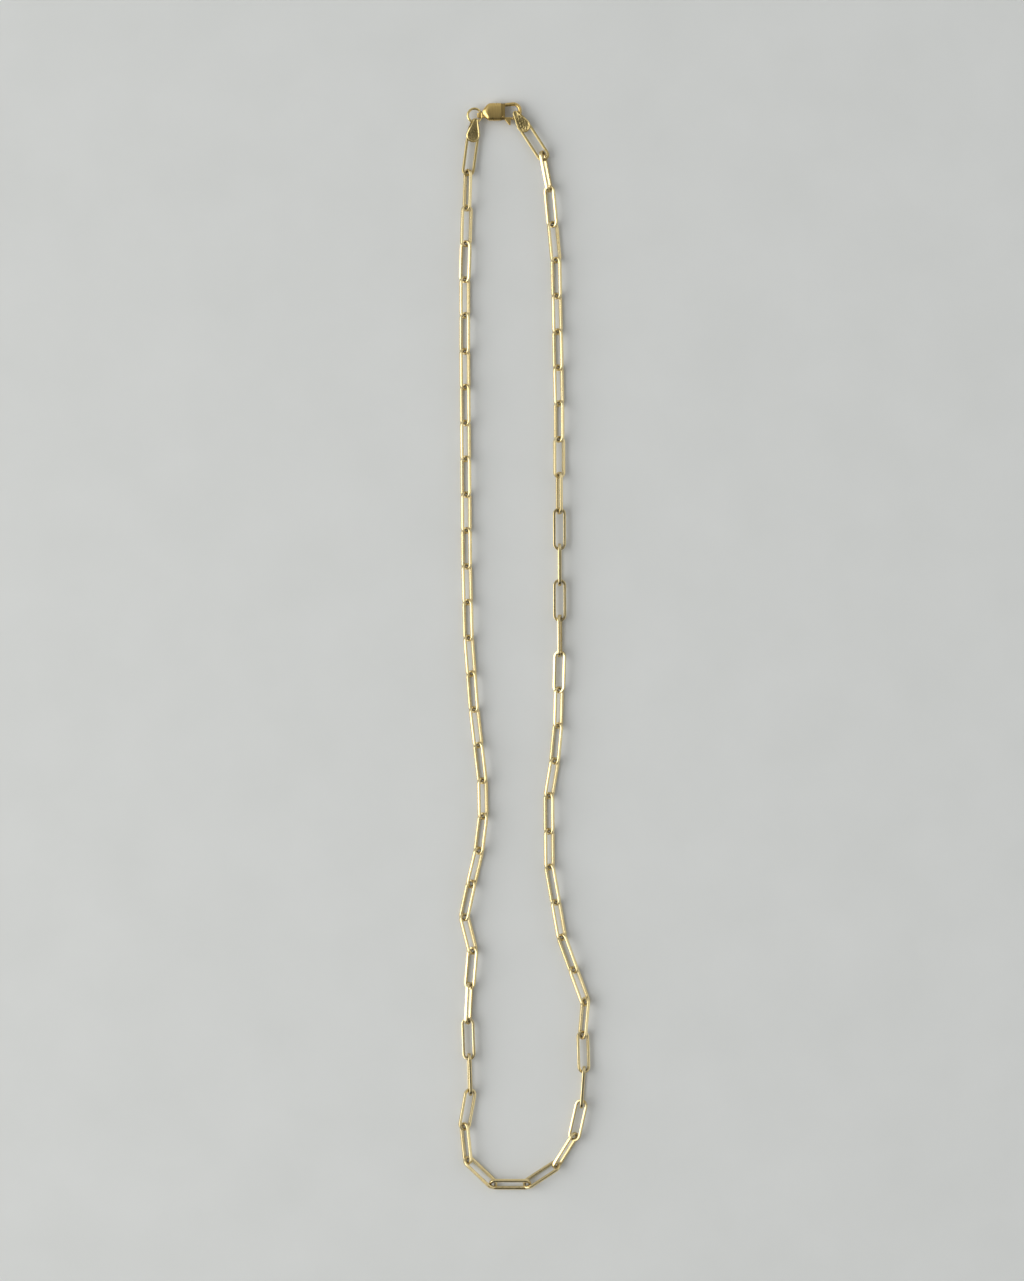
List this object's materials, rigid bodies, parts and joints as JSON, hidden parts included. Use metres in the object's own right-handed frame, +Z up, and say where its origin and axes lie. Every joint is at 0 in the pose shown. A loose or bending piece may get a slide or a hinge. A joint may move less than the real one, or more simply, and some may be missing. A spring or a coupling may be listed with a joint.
{
  "type": "paperclip chain necklace",
  "caption": "Fine gold paperclip chain necklace of long oval links, with teardrop end tags, a jump ring and a lobster clasp.",
  "frame": {"origin": "middle of the footprint of the necklace as it lies, on the surface under it", "axes": "+Y up the page from the bottom of the loop to the clasp, +X to the right of the page, +Z up from the surface"},
  "size_m": [0.0264, 0.2172, 0.0026],
  "materials": {
    "polished_gold": "polished 14 karat yellow gold",
    "satin_gold": "satin 14 karat yellow gold"
  },
  "bodies": {
    "necklace": {"chain_left": "polished_gold", "chain_right": "polished_gold", "end_link_left": "polished_gold", "end_link_right": "polished_gold", "jump_ring": "polished_gold", "clasp_body": "satin_gold", "clasp_pin": "satin_gold"},
    "lever": {"clasp_lever": "satin_gold"}
  },
  "joints": [
    {"name": "clasp_lever", "type": "hinge", "parent": "necklace", "child": "lever", "pos_m": [-0.00434, 0.10564, 0.00095], "axis": [0, 0, 1], "range_deg": [0, 16], "stiffness_Nm_per_rad": 0.004, "springref_deg": -11.46}
  ]
}
